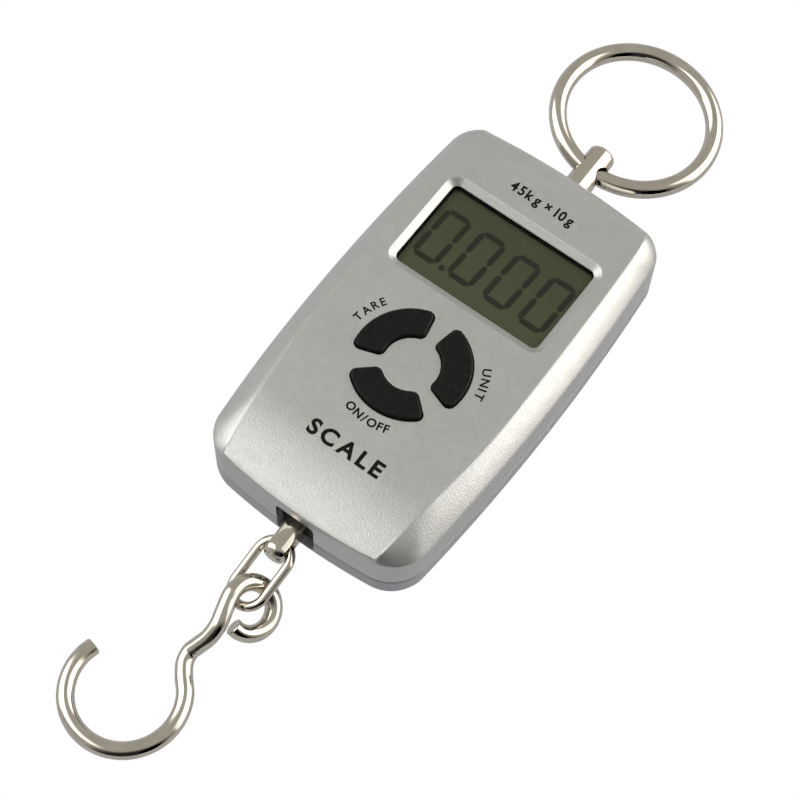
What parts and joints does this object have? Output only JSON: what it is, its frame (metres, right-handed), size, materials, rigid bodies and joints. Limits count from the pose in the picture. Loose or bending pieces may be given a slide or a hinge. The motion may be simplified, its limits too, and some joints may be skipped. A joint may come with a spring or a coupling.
{
  "type": "digital luggage scale",
  "caption": "Hand-held electronic scale: flat grey case with display and sector keys, round hanging ring at one end, wire hook on a chain link at the other.",
  "frame": {"origin": "on the flat back face under the middle of the case (width and length centred, ring and hook not counted)", "axes": "+Z out of the face with the display, +Y along the case towards the hanging ring, +X to the right when the display is read"},
  "size_m": [0.0618, 0.2247, 0.0243],
  "materials": {
    "front_plastic": "silver grey plastic with a fine satin grain",
    "rear_plastic": "plain grey plastic with a fine satin grain",
    "key_rubber": "black silicone rubber",
    "clear_plastic": "clear, smooth",
    "display": "olive green display glass with dark segments",
    "white_plastic": "white, smooth",
    "nickel": "bright nickel plate",
    "load_cell_aluminium": "milled",
    "screw_steel": "zinc plated",
    "contact_steel": "nickel plated spring steel",
    "board_laminate": "green solder mask",
    "resin": "black resin",
    "gauge_foil": "amber foil film",
    "battery_jacket": "plain printed jacket with steel ends",
    "red_wire": "insulated wire",
    "black_wire": "insulated wire"
  },
  "bodies": {
    "case": {"front_shell": "front_plastic", "rear_shell": "rear_plastic", "contact_mat": "key_rubber", "zebra_connector": "key_rubber", "display_window": "clear_plastic", "display_glass": "display", "display_backing": "white_plastic", "top_stud": "nickel", "bottom_stud": "nickel", "load_cell": "load_cell_aluminium", "top_nut": "screw_steel", "bottom_nut": "screw_steel", "case_screw_1": "screw_steel", "case_screw_2": "screw_steel", "case_screw_3": "screw_steel", "case_screw_4": "screw_steel", "cell_screw_1": "screw_steel", "cell_screw_2": "screw_steel", "board_screw_1": "screw_steel", "board_screw_2": "screw_steel", "board_screw_3": "screw_steel", "board_screw_4": "screw_steel", "button_plate_1": "contact_steel", "button_plate_2": "contact_steel", "spring_plate_1": "contact_steel", "spring_plate_2": "contact_steel", "battery_spring_1": "contact_steel", "battery_spring_2": "contact_steel", "circuit_board": "board_laminate", "chip_blob": "resin", "strain_gauge_1": "gauge_foil", "strain_gauge_2": "gauge_foil", "battery_1": "battery_jacket", "battery_2": "battery_jacket", "battery_lead_red": "red_wire", "gauge_wire_1": "red_wire", "gauge_wire_3": "red_wire", "battery_lead_black": "black_wire", "battery_lead_link": "black_wire", "gauge_wire_2": "black_wire", "gauge_wire_4": "black_wire"},
    "ring": {"hanging_ring": "nickel"},
    "link": {"chain_link": "nickel"},
    "hook": {"hook": "nickel"},
    "tare_key": {"tare_key": "key_rubber"},
    "unit_key": {"unit_key": "key_rubber"},
    "power_key": {"power_key": "key_rubber"},
    "battery_door": {"battery_door": "rear_plastic"}
  },
  "joints": [
    {"name": "ring_swing", "type": "hinge", "parent": "case", "child": "ring", "pos_m": [0, 0.06357, 0.0103], "axis": [1, 0, 0], "range_deg": [-120, 120]},
    {"name": "link_swing", "type": "hinge", "parent": "case", "child": "link", "pos_m": [0, -0.0582, 0.0103], "axis": [1, 0, 0], "range_deg": [-110, 70]},
    {"name": "hook_swing", "type": "hinge", "parent": "link", "child": "hook", "pos_m": [0.00251, -0.0675, 0.00575], "axis": [-0.788, 0, 0.6157], "range_deg": [0, 120]},
    {"name": "tare_key_press", "type": "slide", "parent": "case", "child": "tare_key", "axis": [0, 0, -1], "range_m": [0, 0.0008], "stiffness_N_per_m": 1500},
    {"name": "unit_key_press", "type": "slide", "parent": "case", "child": "unit_key", "axis": [0, 0, -1], "range_m": [0, 0.0008], "stiffness_N_per_m": 1500},
    {"name": "power_key_press", "type": "slide", "parent": "case", "child": "power_key", "axis": [0, 0, -1], "range_m": [0, 0.0008], "stiffness_N_per_m": 1500},
    {"name": "battery_door_slide", "type": "slide", "parent": "case", "child": "battery_door", "axis": [0, 1, 0], "range_m": [0, 0.06]}
  ]
}
